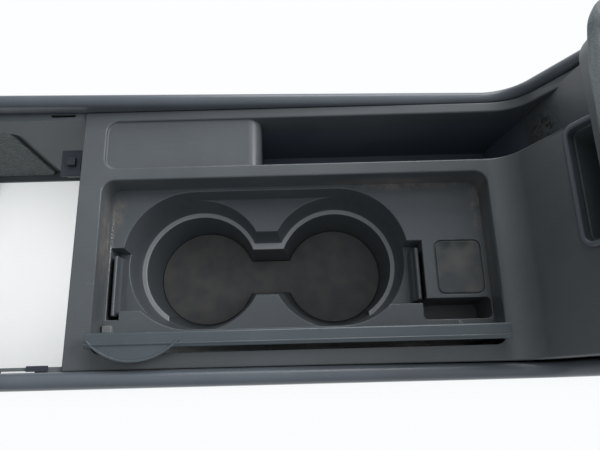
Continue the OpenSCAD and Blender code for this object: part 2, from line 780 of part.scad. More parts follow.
module clip_bracket() {
    x0 = x_plate - 20;
    x1 = x_plate + 12;
    y0 = y_tr0 + 1;
    y1 = y0 + 19.5;
    z1 = plate_z - 14;
    color([0.2, 0.2, 0.21]) {
        difference() {
            block([x0, y0, z1 - wall], [x1, y1, z1]);
            block([x0 + 14, y0 + 4, z1 - 2 * wall], [x0 + 24, y0 + 14, z1 + 1]);
        }
        block([x0 + 5, y0 + 7, z1 - eps], [x0 + 11, y0 + 13, z1 + 3]);
        block([x1 - wall, y0, z1 - eps], [x1, y1, plate_z - wall]);
    }
}

// Spring clips on the left ledge's strap
module rail_clips() {
    color([0.1, 0.1, 0.11])
        for (x = [slot_x1 - 5, slot_x0 - 17])
            block([x, ledge_y - strap_w - 0.6, plate_z - wall], [x + 13, ledge_y + 0.8, plate_z - wall + 1.4]);
}

module bezel_shape(m, r) {
    round_rect(-bezel_w / 2 + m, bezel_w / 2 - m, -bezel_l / 2 + m, bezel_l / 2 - m, r);
}

module pocket_bezel() {
    color([0.4, 0.42, 0.43])
        on_sweep(bezel_s0)
            difference() {
                union() {
                    linear_extrude(bezel_t)
                        bezel_shape(0, 8);
                    translate([0, 0, -wall - 1])
                        linear_extrude(wall + 1 + eps)
                            bezel_shape(1.5 + fit_gap / 2, 6);
                }
                translate([0, 0, -wall - 2])
                    linear_extrude(wall + 6)
                        bezel_shape(bezel_lip, 4.5);
            }
}

module pocket_liner() {
    color([0.12, 0.12, 0.13])
        on_sweep(bezel_s0)
            difference() {
                translate([0, 0, -pocket_depth])
                    linear_extrude(pocket_depth - wall - 1)
                        bezel_shape(bezel_lip - thin + 1, 4);
                translate([0, 0, thin - pocket_depth])
                    linear_extrude(pocket_depth)
                        bezel_shape(bezel_lip + 1, 3);
            }
}

// Storage bin under the armrest, hung by its flange
bin_x0 = x_box + bin_front;
bin_x1 = x_rear - bin_rear;
bin_y = half_w - 22;
module storage_bin() {
    color([0.2, 0.21, 0.22])
        difference() {
            union() {
                block([x_box + fit_gap, y_left - 0.7, box_z - thin], [x_rear - wall, y_right - fit_gap, box_z]);
                slab(bin_x0, bin_x1, -bin_y, bin_y, box_z - bin_drop, box_z, 12);
            }
            slab(bin_x0 + thin, bin_x1 - thin, -bin_y + thin, bin_y - thin, box_z - bin_drop + thin, box_z + 1, 10);
        }
}

module bin_mat() {
    m = thin + fit_gap;
    color([0.13, 0.13, 0.13])
        slab(bin_x0 + m, bin_x1 - m, -bin_y + m, bin_y - m, box_z - bin_drop + thin, box_z - bin_drop + thin + mat_t, 9.7);
}

module rear_panel() {
    color([0.27, 0.28, 0.29])
        translate([x_rear - wall, 0, 0])
            rotate([90, 0, 90])
                linear_extrude(wall) {
                    round_rect(-panel_y, panel_y, 20, rail_top_z, 5);
                    translate([-panel_y, 0])
                        square([2 * panel_y, 60]);
                }
}

// Armrest
shell_z1 = arm_z0 + shell_h;
arm_y = half_w - 1;
module armrest_shell() {
    lug_x0 = hinge_x - 9;
    shell_x0 = arm_front + arm_setback;
    color([0.22, 0.23, 0.24])
        difference() {
            slab(shell_x0, arm_x1, -arm_y + 4, arm_y - 4, arm_z0, shell_z1, arm_r - 4);
            slab(shell_x0 + 3, lug_x0 - 2, -arm_y + 7, arm_y - 7, arm_z0 + 3, shell_z1 + 1, arm_r - 7);
            translate([arm_x1, 0, arm_z0])
                rotate([90, 0, 0])
                    cylinder(r = 4.5, h = 2 * half_w, center = true, $fn = 4);
            for (s = [-1, 1])
                block([hinge_x - 7, s * ear_y - ear_t / 2 - 0.6, arm_z0 - 1], [arm_x1 + 1, s * ear_y + ear_t / 2 + 0.6, hinge_z + 5.5]);
            translate([hinge_x, 0, hinge_z])
                rotate([90, 0, 0])
                    for (s = [-1, 1])
                        translate([0, 0, s * ear_y])
                            cylinder(d = hinge_d + 0.04, h = 18.2, center = true);
        }
}

module armrest_pad() {
    color([0.42, 0.44, 0.45])
        hull() {
            slab(arm_front + 8, arm_x1, -arm_y + 2, arm_y - 2, shell_z1, shell_z1 + 1, arm_r - 4, $fn = 32);
            slab(arm_front, arm_x1, -arm_y, arm_y, arm_z0 + 27, arm_z1 - 12, arm_r, $fn = 32);
            slab(arm_front + 7, arm_x1 - 5, -arm_y + 7, arm_y - 7, shell_z1, arm_z1, arm_r - 7, $fn = 32);
        }
}

bracket_t = 1.5;
module hinge_bracket() {
    color([0.55, 0.56, 0.57])
        difference() {
            union() {
                block([hinge_x - 10, -ear_y - ear_t / 2, box_z], [x_rear - wall, ear_y + ear_t / 2, box_z + bracket_t]);
                for (s = [-1, 1])
                    translate([0, s * ear_y, 0])
                        rotate([90, 0, 0])
                            linear_extrude(ear_t, center = true) {
                                translate([hinge_x, hinge_z])
                                    circle(r = 5);
                                translate([hinge_x - 5, box_z])
                                    square([10, hinge_z - box_z]);
                            }
            }
            translate([hinge_x, 0, hinge_z])
                rotate([90, 0, 0])
                    cylinder(d = hinge_d + 0.1, h = 3 * ear_y, center = true);
            for (y = [-1, 0, 1])
                translate([hinge_x - 4, y * hinge_pitch, box_z - 1])
                    cylinder(d = 3.4, h = 4);
        }
}

module hinge_pins() {
    color([0.7, 0.71, 0.72])
        for (s = [-1, 1])
            translate([hinge_x, s * ear_y, hinge_z])
                rotate([90, 0, 0])
                    cylinder(d = hinge_d, h = 18, center = true);
}

// Rubber stops on the box rim under the armrest
module armrest_stops() {
    color([0.1, 0.1, 0.1])
        for (x = [x_box + bin_front / 2, bin_x1 - bin_l / 3], s = [-1, 1])
            translate([x, s * (bin_y + 6), box_z])
                cylinder(d1 = 8, d2 = 6.5, h = arm_gap - fit_gap);
}

// Screw heads that hold the cross-member against the side panels' front flanges
screw_z = [20, 95];
module panel_screws() {
    color([0.5, 0.5, 0.52])
        for (s = [-1, 1], z = screw_z)
            translate([x_inner, s * (panel_in - flange_w + 6), z])
                rotate([0, 90, 0])
                    cylinder(d = 8, h = 2.2);
}

module hinge_screws() {
    color([0.6, 0.6, 0.62])
        for (y = [-1, 0, 1])
            translate([hinge_x - 4, y * hinge_pitch, box_z + bracket_t])
                cylinder(d1 = 6, d2 = 4, h = 1.2);
}

side_panel_left();
side_panel_right();
rail_left();
rail_right();
top_trim();
well_liner();
cup_holder_insert();
cup_mat();
coin_pad();
tray_stop();
lid_panel();
lid_pins();
lid_guide_front();
lid_guide_rear();
lid_catch();
front_crossmember();
carrier_right();
felt_pad();
clip_bracket();
rail_clips();
pocket_bezel();
pocket_liner();
storage_bin();
rear_panel();
armrest_shell();
armrest_pad();
hinge_bracket();
hinge_pins();
armrest_stops();
bin_mat();
panel_screws();
hinge_screws();
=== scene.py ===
import math

import bmesh
import bpy
from bpy.props import FloatProperty, FloatVectorProperty, IntProperty, PointerProperty
from mathutils import Matrix, Vector


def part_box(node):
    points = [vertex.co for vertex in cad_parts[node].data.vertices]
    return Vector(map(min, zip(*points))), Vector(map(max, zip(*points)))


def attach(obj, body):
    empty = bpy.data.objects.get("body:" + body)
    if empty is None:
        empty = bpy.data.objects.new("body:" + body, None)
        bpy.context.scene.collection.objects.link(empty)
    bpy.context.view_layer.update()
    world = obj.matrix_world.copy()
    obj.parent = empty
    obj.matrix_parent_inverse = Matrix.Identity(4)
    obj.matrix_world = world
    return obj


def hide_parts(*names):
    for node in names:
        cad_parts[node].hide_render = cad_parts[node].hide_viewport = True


bl_info = {
    "name": "Car center console",
    "version": (1, 0, 0),
    "blender": (4, 5, 0),
    "location": "View3D > Sidebar > Console",
    "description": "Dresses the packed center console with rounded mouldings, soft trim and a studio",
    "category": "Object",
}

MM = 0.001
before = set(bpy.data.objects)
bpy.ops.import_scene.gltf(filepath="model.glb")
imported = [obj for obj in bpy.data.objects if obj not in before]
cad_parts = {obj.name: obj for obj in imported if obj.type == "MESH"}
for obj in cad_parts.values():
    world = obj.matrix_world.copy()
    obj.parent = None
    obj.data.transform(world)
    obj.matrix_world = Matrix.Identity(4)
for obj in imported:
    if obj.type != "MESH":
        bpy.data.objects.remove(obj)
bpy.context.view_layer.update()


def linear(code):
    """The linear colour of an sRGB hex value."""
    out = []
    for i in (0, 2, 4):
        c = int(code[i:i + 2], 16) / 255
        out.append(c / 12.92 if c <= 0.04045 else ((c + 0.055) / 1.055) ** 2.4)
    return (*out, 1.0)


def length_prop(name, text, mm, low, high):
    return FloatProperty(name=name, description=text, default=mm * MM, min=low * MM, max=high * MM,
                         unit="LENGTH", precision=4)


def colour_prop(name, text, code):
    return FloatVectorProperty(name=name, description=text, default=linear(code), size=4,
                               min=0, max=1, subtype="COLOR")


class ConsoleSizes(bpy.types.PropertyGroup):
    trim_round: length_prop("Trim rounding", "Radius on the edges of the top trim", 1.3, 0.2, 2)
    insert_round: length_prop("Insert rounding", "Radius on the edges of the cup holder", 0.7, 0.2, 1)
    panel_round: length_prop("Panel rounding", "Radius on the edges of panels and small mouldings", 0.5, 0.1, 1)
    grain: length_prop("Grain size", "Distance between the bumps of the moulded grain", 0.9, 0.3, 3)
    vinyl_grain: length_prop("Vinyl grain size", "Size of the pebbles in the armrest's cover", 1.6, 0.5, 4)
    cushion_crown: length_prop("Cushion crown", "Rise of the armrest's middle over its edge", 5, 0, 10)
    round_steps: IntProperty(name="Rounding steps", description="Faces across each rounded edge",
                             default=3, min=1, max=6)


class ConsoleColours(bpy.types.PropertyGroup):
    trim: colour_prop("Trim", "Plate, trough and rear sweep", "505457")
    rail: colour_prop("Rails", "Side rails", "545A61")
    lid: colour_prop("Lid", "Stowed sliding lid", "464E53")
    insert: colour_prop("Insert", "Cup holder insert", "4E5357")
    liner: colour_prop("Liners", "Pocket, bin and other hidden mouldings", "2E333C")
    well: colour_prop("Handbrake liner", "Lower liner of the handbrake trough", "5A626E")
    panel: colour_prop("Panels", "Side and rear panels and inner carrier", "5D6366")
    rubber: colour_prop("Mats", "Rubber mats", "47484A")
    pad: colour_prop("Coin pad", "Loose rubber pad by the coin pocket", "3F4346")
    catch: colour_prop("Catches", "Lid catch and tray stop", "6A6D6E")
    felt: colour_prop("Felt", "Felt pad and bin mat", "A6AEAE")
    vinyl: colour_prop("Armrest", "Armrest cover", "727A7C")
    dust: colour_prop("Dust", "Brown dust in the corners", "857C74")
    steel: colour_prop("Steel", "Pins, clips and screws", "8E9093")
    floor: colour_prop("Floor", "Table and backdrop", "FCFEFF")


def sizes():
    return bpy.context.scene.console_sizes


def colours():
    return bpy.context.scene.console_colours


# Materials


def add(tree, kind, inputs=None, **settings):
    """Adds one shader node with its settings, values and links."""
    node = tree.nodes.new(kind)
    for name, value in settings.items():
        setattr(node, name, value)
    for key, value in (inputs or {}).items():
        if isinstance(value, bpy.types.NodeSocket):
            tree.links.new(value, node.inputs[key])
        else:
            node.inputs[key].default_value = value
    return node


def start_material(name):
    material = bpy.data.materials.new(name)
    material.use_nodes = True
    tree = material.node_tree
    tree.nodes.clear()
    where = add(tree, "ShaderNodeTexCoord").outputs["Object"]
    return material, tree, where


def end_material(tree, shader):
    add(tree, "ShaderNodeOutputMaterial", {"Surface": shader.outputs[0]})


def spot(tree, where, centre, reach, edge=0.3):
    """A soft mask round a point, from the distance in mm."""
    local = add(tree, "ShaderNodeMapping", {"Vector": where, "Location": Vector(centre) * MM,
                                            "Scale": Vector(reach) * MM}, vector_type="TEXTURE")
    away = add(tree, "ShaderNodeVectorMath", {0: local.outputs[0]}, operation="LENGTH")
    return add(tree, "ShaderNodeMapRange", {"Value": away.outputs["Value"], "From Min": 1.0, "From Max": edge})


def dust_and_gap_shade(tree, where, colour, dust, patches, corner_mm, amount):
    """Mixes dirt into a colour, in corners and on named patches in mm, and paints shade near-black into the
    narrowest gaps.
    """
    cloud = add(tree, "ShaderNodeTexNoise", {"Vector": where, "Scale": 1 / (7 * MM), "Detail": 6.0,
                                             "Roughness": 0.66})
    speck = add(tree, "ShaderNodeTexNoise", {"Vector": where, "Scale": 1 / (1.4 * MM), "Detail": 3.0})
    shade = add(tree, "ShaderNodeAmbientOcclusion", {"Distance": corner_mm * MM}, samples=8)
    corner = add(tree, "ShaderNodeMapRange", {"Value": shade.outputs["AO"], "From Min": 0.6, "From Max": 0.2,
                                              "To Max": 0.7})
    total = corner.outputs[0]
    for centre, reach, strength in patches:
        mask = spot(tree, where, centre, reach)
        scaled = add(tree, "ShaderNodeMath", {0: mask.outputs[0], 1: strength}, operation="MULTIPLY")
        total = add(tree, "ShaderNodeMath", {0: total, 1: scaled.outputs[0]}, operation="MAXIMUM").outputs[0]
    broken = add(tree, "ShaderNodeMapRange", {"Value": cloud.outputs["Fac"], "From Min": 0.36, "From Max": 0.6})
    fine = add(tree, "ShaderNodeMapRange", {"Value": speck.outputs["Fac"], "From Min": 0.35, "From Max": 0.65,
                                            "To Min": 0.4})
    mask = add(tree, "ShaderNodeMath", {0: broken.outputs[0], 1: fine.outputs[0]}, operation="MULTIPLY")
    mask = add(tree, "ShaderNodeMath", {0: mask.outputs[0], 1: total}, operation="MULTIPLY")
    mask = add(tree, "ShaderNodeMath", {0: mask.outputs[0], 1: amount}, operation="MULTIPLY", use_clamp=True)
    mixed = add(tree, "ShaderNodeMix", {"Factor": mask.outputs[0], 6: colour, 7: dust}, data_type="RGBA")
    # Painted shade: where ambient occlusion finds narrow gaps, the colour is mixed towards near-black 08090A.
    painted_gap_shade = add(tree, "ShaderNodeMapRange", {"Value": shade.outputs["AO"], "From Min": 0.5, "From Max": 0.15,
                                            "To Max": 0.92})
    black = add(tree, "ShaderNodeMix", {"Factor": painted_gap_shade.outputs[0], 6: mixed.outputs[2], 7: linear("08090A")},
                data_type="RGBA")
    return black.outputs[2], mask.outputs[0]


def marked(tree, where, colour, code, marks, grain_mm):
    """Mixes a tone into a colour on named patches in mm, broken up by streaky noise."""
    drawn = add(tree, "ShaderNodeTexNoise", {"Vector": where, "Scale": 1 / (grain_mm * MM), "Detail": 4.0,
                                             "Roughness": 0.7})
    broken = add(tree, "ShaderNodeMapRange", {"Value": drawn.outputs["Fac"], "From Min": 0.5, "From Max": 0.58})
    for centre, reach, strength in marks:
        mask = spot(tree, where, centre, reach)
        mask = add(tree, "ShaderNodeMath", {0: mask.outputs[0], 1: broken.outputs[0]}, operation="MULTIPLY")
        mask = add(tree, "ShaderNodeMath", {0: mask.outputs[0], 1: strength}, operation="MULTIPLY")
        colour = add(tree, "ShaderNodeMix", {"Factor": mask.outputs[0], 6: colour, 7: linear(code)},
                     data_type="RGBA").outputs[2]
    return colour


def moulded_plastic(name, base, rough, grain_mm, grain_depth, patches=(), dust=0.8, scuffs=0.25, pale=(),
                    dark=(), painted_highlight_band=None, unlit=()):
    """Injection-moulded plastic: satin sheen, a fine pebbled grain, faint scuffs and dust in its corners; shade
    is painted near-black into its narrowest gaps and onto unlit patches, and a pale painted highlight can run
    round one height.
    """
    material, tree, where = start_material(name)
    haze = add(tree, "ShaderNodeTexNoise", {"Vector": where, "Scale": 1 / (45 * MM), "Detail": 4.0})
    tint = add(tree, "ShaderNodeMapRange", {"Value": haze.outputs["Fac"], "From Min": 0.3, "From Max": 0.7,
                                            "To Min": 0.92, "To Max": 1.08})
    body = add(tree, "ShaderNodeVectorMath", {0: base[:3], "Scale": tint.outputs[0]}, operation="SCALE")
    rubbed = add(tree, "ShaderNodeMapping", {"Vector": where, "Scale": (0.25, 1.0, 1.0),
                                             "Rotation": (0, 0, 0.5)})
    streak = add(tree, "ShaderNodeTexNoise", {"Vector": rubbed.outputs[0], "Scale": 1 / (2.2 * MM),
                                              "Detail": 5.0, "Roughness": 0.7})
    scratch = add(tree, "ShaderNodeMapRange", {"Value": streak.outputs["Fac"], "From Min": 0.62,
                                               "From Max": 0.78, "To Max": scuffs})
    rubs = add(tree, "ShaderNodeMix", {"Factor": scratch.outputs[0], 6: body.outputs[0],
                                       7: linear("8C9092")}, data_type="RGBA")
    colour = rubs.outputs[2]
    # Painted highlight: a pale stripe at the given height stands in for the light caught along the cup holder's
    # ring ledge.
    if painted_highlight_band:
        colour = add(tree, "ShaderNodeMix", {"Factor": level_band(tree, where, painted_highlight_band), 6: colour,
                                             7: linear("929396")}, data_type="RGBA").outputs[2]
    colour, mask = dust_and_gap_shade(tree, where, colour, tuple(colours().dust), patches, 5, dust)
    colour = marked(tree, where, colour, "B9B4AC", pale, 0.9)
    colour = marked(tree, where, colour, "101214", dark, 2.6)
    # Painted shade: each unlit patch, such as the walls of the lid's slot, is mixed to near-black 0B0C0D.
    for centre, reach in unlit:
        painted_shade_patch = spot(tree, where, centre, reach, 0.85)
        colour = add(tree, "ShaderNodeMix", {"Factor": painted_shade_patch.outputs[0], 6: colour, 7: linear("0B0C0D")},
                     data_type="RGBA").outputs[2]
    gloss = add(tree, "ShaderNodeMapRange", {"Value": haze.outputs["Fac"], "From Min": 0.3, "From Max": 0.7,
                                             "To Min": rough - 0.04, "To Max": rough + 0.05})
    dull = add(tree, "ShaderNodeMath", {0: mask, 1: 0.35, 2: gloss.outputs[0]}, operation="MULTIPLY_ADD",
               use_clamp=True)
    grain = add(tree, "ShaderNodeTexVoronoi", {"Vector": where, "Scale": 1 / (grain_mm * MM)},
                feature="SMOOTH_F1")
    bump = add(tree, "ShaderNodeBump", {"Height": grain.outputs["Distance"], "Strength": 0.5,
                                        "Distance": grain_depth * MM})
    shader = add(tree, "ShaderNodeBsdfPrincipled", {"Base Color": colour, "Roughness": dull.outputs[0],
                                                    "Normal": bump.outputs[0], "IOR": 1.5})
    end_material(tree, shader)
    return material


def level_band(tree, where, height):
    """A mask that is full within 0.4 mm of a height in mm, used for a painted highlight stripe."""
    axes = add(tree, "ShaderNodeSeparateXYZ", {0: where})
    off = add(tree, "ShaderNodeMath", {0: axes.outputs["Z"], 1: height * MM}, operation="SUBTRACT")
    away = add(tree, "ShaderNodeMath", {0: off.outputs[0]}, operation="ABSOLUTE")
    painted_highlight_band = add(tree, "ShaderNodeMapRange", {"Value": away.outputs[0], "From Min": 0.9 * MM, "From Max": 0.4 * MM,
                                            "To Max": 1.0})
    return painted_highlight_band.outputs[0]


def moulded_rubber(name, base, rough=0.6, pale=()):
    """Moulded rubber mat: dull black, faint cloudiness and pale lint."""
    material, tree, where = start_material(name)
    cloud = add(tree, "ShaderNodeTexNoise", {"Vector": where, "Scale": 1 / (14 * MM), "Detail": 5.0})
    lint = add(tree, "ShaderNodeTexNoise", {"Vector": where, "Scale": 1 / (0.8 * MM), "Detail": 2.0})
    worn = add(tree, "ShaderNodeMapRange", {"Value": cloud.outputs["Fac"], "From Min": 0.35, "From Max": 0.75,
                                            "To Max": 0.55})
    flecks = add(tree, "ShaderNodeMapRange", {"Value": lint.outputs["Fac"], "From Min": 0.72, "From Max": 0.8,
                                              "To Max": 0.25})
    mask = add(tree, "ShaderNodeMath", {0: worn.outputs[0], 1: flecks.outputs[0]}, operation="ADD",
               use_clamp=True)
    colour = add(tree, "ShaderNodeMix", {"Factor": mask.outputs[0], 6: tuple(base), 7: linear("67635C")},
                 data_type="RGBA")
    tone = marked(tree, where, colour.outputs[2], "A39C90", pale, 6)
    bump = add(tree, "ShaderNodeBump", {"Height": lint.outputs["Fac"], "Strength": 0.4, "Distance": 0.15 * MM})
    shader = add(tree, "ShaderNodeBsdfPrincipled", {"Base Color": tone, "Roughness": rough,
                                                    "Normal": bump.outputs[0], "IOR": 1.5})
    end_material(tree, shader)
    return material


def needled_felt(name, base):
    """Needled felt: matted fibres in two greys, no shine and a rough nap."""
    material, tree, where = start_material(name)
    stretched = add(tree, "ShaderNodeMapping", {"Vector": where, "Rotation": (0.3, 0.5, 0.2),
                                                "Scale": (0.35, 1.0, 1.0)})
    fibre = add(tree, "ShaderNodeTexNoise", {"Vector": stretched.outputs[0], "Scale": 1 / (1.1 * MM),
                                             "Detail": 8.0, "Roughness": 0.75, "Distortion": 1.2})
    tone = add(tree, "ShaderNodeValToRGB", {"Fac": fibre.outputs["Fac"]})
    tone.color_ramp.elements[0].position = 0.36
    tone.color_ramp.elements[0].color = linear("2E3232")
    tone.color_ramp.elements[1].position = 0.68
    tone.color_ramp.elements[1].color = tuple(base)
    bump = add(tree, "ShaderNodeBump", {"Height": fibre.outputs["Fac"], "Strength": 0.9, "Distance": 0.8 * MM})
    shader = add(tree, "ShaderNodeBsdfPrincipled", {"Base Color": tone.outputs[0], "Roughness": 0.95,
                                                    "Normal": bump.outputs[0], "Sheen Weight": 0.25})
    end_material(tree, shader)
    return material


def embossed_vinyl(name, base, pebble_mm):
    """Embossed vinyl over foam: pebbled leather grain with fine creases painted darker as shade, and a soft
    sheen.
    """
    material, tree, where = start_material(name)
    pebbles = add(tree, "ShaderNodeTexVoronoi", {"Vector": where, "Scale": 1 / (pebble_mm * MM),
                                                 "Randomness": 1.0}, feature="DISTANCE_TO_EDGE")
    crease = add(tree, "ShaderNodeMapRange", {"Value": pebbles.outputs["Distance"], "From Max": 0.16})
    soft = add(tree, "ShaderNodeTexNoise", {"Vector": where, "Scale": 1 / (30 * MM), "Detail": 3.0})
    shade = add(tree, "ShaderNodeMapRange", {"Value": soft.outputs["Fac"], "From Min": 0.3, "From Max": 0.7,
                                             "To Min": 0.9, "To Max": 1.08})
    body = add(tree, "ShaderNodeVectorMath", {0: tuple(base)[:3], "Scale": shade.outputs[0]},
               operation="SCALE")
    # Painted shade: the creases between the pebbles are mixed towards a darker copy of the colour.
    dark = add(tree, "ShaderNodeVectorMath", {0: body.outputs[0], "Scale": 0.72}, operation="SCALE")
    colour = add(tree, "ShaderNodeMix", {"Factor": crease.outputs[0], 6: dark.outputs[0],
                                         7: body.outputs[0]}, data_type="RGBA")
    bump = add(tree, "ShaderNodeBump", {"Height": crease.outputs[0], "Strength": 0.45, "Distance": 0.12 * MM})
    shader = add(tree, "ShaderNodeBsdfPrincipled", {"Base Color": colour.outputs[2], "Roughness": 0.52,
                                                    "Normal": bump.outputs[0], "IOR": 1.48})
    end_material(tree, shader)
    return material


def zinc_plated_steel(name, base):
    """Zinc-plated steel: a cool metal with a faint crystal pattern and fine brushing."""
    material, tree, where = start_material(name)
    cells = add(tree, "ShaderNodeTexVoronoi", {"Vector": where, "Scale": 1 / (2.5 * MM)})
    rough = add(tree, "ShaderNodeMapRange", {"Value": cells.outputs["Distance"], "To Min": 0.32, "To Max": 0.48})
    shader = add(tree, "ShaderNodeBsdfPrincipled", {"Base Color": tuple(base), "Metallic": 1.0,
                                                    "Roughness": rough.outputs[0]})
    end_material(tree, shader)
    return material


# Mesh helpers


def finish_piece(name, shape, material, body, replaces=()):
    """Turns a bmesh into a named piece on its body, with smooth faces."""
    mesh = bpy.data.meshes.new(name)
    for face in shape.faces:
        face.smooth = True
    shape.to_mesh(mesh)
    shape.free()
    piece = bpy.data.objects.new(name, mesh)
    bpy.context.scene.collection.objects.link(piece)
    mesh.materials.append(material)
    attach(piece, body)
    if replaces:
        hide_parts(*replaces)
    return piece


def node_copy(node):
    """A CAD node's mesh in a new bmesh, its loose triangles merged into flat faces."""
    shape = bmesh.new()
    shape.from_mesh(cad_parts[node].data)
    bmesh.ops.remove_doubles(shape, verts=shape.verts, dist=0.004 * MM)
    bmesh.ops.dissolve_limit(shape, angle_limit=math.radians(0.6), verts=shape.verts, edges=shape.edges)
    bmesh.ops.delete(shape, geom=[v for v in shape.verts if not v.link_faces], context="VERTS")
    return shape


def round_edges(shape, radius, steps, concave=False, up=-2.0, keep=None):
    """Bevels the sharp edges whose faces look up at least by `up`; keep tests an edge's middle in mm."""
    shape.normal_update()
    edges = []
    for edge in shape.edges:
        if not edge.is_manifold or edge.calc_face_angle(0) < math.radians(30) or edge.is_convex == concave:
            continue
        if max(face.normal.z for face in edge.link_faces) < up:
            continue
        if keep and not keep((edge.verts[0].co + edge.verts[1].co) / (2 * MM)):
            continue
        edges.append(edge)
    bmesh.ops.bevel(shape, geom=edges, offset=radius, offset_type="OFFSET", segments=steps, profile=0.5,
                    affect="EDGES", clamp_overlap=False, material=-1)


def shade_smooth(piece, angle=40):
    """Keeps edges sharper than the angle crisp and evens the normals of flat faces."""
    shape = bmesh.new()
    shape.from_mesh(piece.data)
    for edge in shape.edges:
        edge.smooth = not (edge.is_manifold and edge.calc_face_angle(0) > math.radians(angle))
    shape.to_mesh(piece.data)
    shape.free()
    even = piece.modifiers.new("Even flats", "WEIGHTED_NORMAL")
    even.keep_sharp = True


def rounded_node(node, name, material, body, slot, *rounds):
    """A dressed copy of a CAD node; each round is a dict for round_edges."""
    shape = node_copy(node)
    for one in rounds:
        round_edges(shape, **{"steps": sizes().round_steps, **one})
    piece = finish_piece(name, shape, material, body, (node,))
    shade_smooth(piece)
    return piece


def subdivision(piece, level):
    smooth = piece.modifiers.new("Subdivision", "SUBSURF")
    smooth.levels = smooth.render_levels = level
    return smooth


def bake(piece, modifier):
    """Applies a piece's one modifier to its mesh."""
    graph = bpy.context.evaluated_depsgraph_get()
    mesh = bpy.data.meshes.new_from_object(piece.evaluated_get(graph))
    piece.modifiers.remove(modifier)
    old, piece.data = piece.data, mesh
    bpy.data.meshes.remove(old)


def inflate(context, piece, held, pressure, cap):
    """Blows a cover up as cloth while its seams are held, and caps how far a point may move."""
    rest = [vert.co.copy() for vert in piece.data.vertices]
    seams = piece.vertex_groups.new(name="Seams")
    seams.add([n for n, co in enumerate(rest) if held(co)], 1.0, "REPLACE")
    cloth = piece.modifiers.new("Cloth", "CLOTH")
    cloth.point_cache.frame_start, cloth.point_cache.frame_end = 1, 20
    setup = cloth.settings
    setup.quality = 8
    setup.mass = 0.4
    setup.tension_stiffness = setup.compression_stiffness = 25
    setup.shear_stiffness = 10
    setup.bending_stiffness = 2
    setup.use_pressure = True
    setup.uniform_pressure_force = pressure
    setup.vertex_group_mass = "Seams"
    setup.pin_stiffness = 1
    setup.effector_weights.gravity = 0
    for step in range(1, 21):
        context.scene.frame_set(step)
    bake(piece, cloth)
    for vert, start in zip(piece.data.vertices, rest):
        move = vert.co - start
        if move.length > cap:
            vert.co = start + move * (cap / move.length)
    context.scene.frame_set(1)
    piece.vertex_groups.clear()


def paint_node(node, material):
    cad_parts[node].data.materials.clear()
    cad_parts[node].data.materials.append(material)


class Finishes:
    """The console's materials, made once and shared by its pieces."""

    made = {}

    @classmethod
    def get(cls, name):
        if name not in cls.made:
            cls.made[name] = cls.make(name)
        return cls.made[name]

    @staticmethod
    def make(name):
        c, s = colours(), sizes()
        grain = s.grain / MM
        if name == "trim":
            # The trim's unlit patch is painted shade on the walls of the lid's slot.
            return moulded_plastic("ABS moulded satin grain", c.trim, 0.36, grain, 0.05, patches=[
                ((88, 32, 104), (10, 12, 14), 1.0), ((35, 37, 105), (62, 2.5, 9), 1.0),
                ((-166, 0, 108), (3, 40, 12), 1.0), ((92, -10, 105), (2.5, 50, 9), 0.8),
                ((122, 64, 130), (12, 14, 26), 0.5)],
                pale=[((-165.8, 0, 101.5), (1.6, 30, 2.5), 0.9)],
                dark=[((131, 63, 128), (9, 17, 22), 0.9)], unlit=[((-37, -76, 97), (190, 10, 22.6))])
        if name == "rail":
            return moulded_plastic("ABS moulded rail", c.rail, 0.33, grain, 0.04, dust=0.5, patches=[
                ((131, 8, 172), (14, 36, 12), 0.5)])
        if name == "lid":
            return moulded_plastic("ABS moulded lid", c.lid, 0.3, grain, 0.03, dust=0.3, scuffs=0.15)
        if name == "insert":
            # The pale ring at height 63 is a painted highlight along the cup ring ledge.
            return moulded_plastic("PP moulded insert", c.insert, 0.38, grain, 0.04, patches=[
                ((40, 36, 100), (55, 5, 4), 1.0), ((88, 20, 100), (5, 24, 4), 1.0),
                ((-162, 20, 100), (8, 16, 4), 0.8), ((86, -56, 80), (9, 9, 20), 1.0)],
                pale=[((-164.6, 0, 100), (1.6, 30, 2), 0.9)], painted_highlight_band=63)
        if name == "catch":
            return moulded_plastic("PP moulded natural grey", c.catch, 0.45, grain, 0.03, dust=0.3)
        if name == "pad":
            return moulded_rubber("EPDM rubber sheet", c.pad)
        if name == "well":
            return moulded_plastic("PP moulded blue grey", c.well, 0.5, grain, 0.03, dust=0.4)
        if name == "liner":
            return moulded_plastic("PP moulded dark", c.liner, 0.5, grain, 0.03, dust=0.5)
        if name == "panel":
            return moulded_plastic("PP moulded panel", c.panel, 0.5, grain, 0.05, dust=0.4)
        if name == "rubber":
            return moulded_rubber("EPDM rubber moulded", c.rubber, pale=[
                ((12.2, -29, 29.5), (1, 3, 2), 1.0), ((-30, -52, 29.5), (40, 5, 2), 0.3)])
        if name == "felt":
            return needled_felt("Polyester felt needled", c.felt)
        if name == "vinyl":
            return embossed_vinyl("PVC vinyl embossed", c.vinyl, s.vinyl_grain / MM)
        return zinc_plated_steel("Steel zinc plated", c.steel)


class PieceOperator:
    bl_options = {"REGISTER", "UNDO"}

    def execute(self, context):
        self.build(context)
        return {"FINISHED"}


class CONSOLE_OT_trim(PieceOperator, bpy.types.Operator):
    """Top trim with rounded edges, and the liner of the handbrake trough"""
    bl_idname = "console.trim"
    bl_label = "Top trim"

    def build(self, context):
        round_mm = sizes().trim_round
        rounded_node("top_trim", "trim_moulding", Finishes.get("trim"), "console", "trim_plastic",
                     {"radius": 1.0 * MM, "concave": True, "up": 0.9, "keep": lambda m: m.z > 116},
                     {"radius": round_mm, "up": 0.3, "keep": lambda m: not self.at_slot(m)},
                     {"radius": 0.3 * MM, "up": 0.3, "keep": self.at_slot})
        rounded_node("well_liner", "handbrake_liner", Finishes.get("well"), "console", "dark_plastic")

    @staticmethod
    def at_slot(middle):
        """Whether a point in mm lies at the mouth of the lid's slot, whose edges are nearly sharp."""
        return -84 < middle.y < -62 and -172 < middle.x < 96 and middle.z > 90


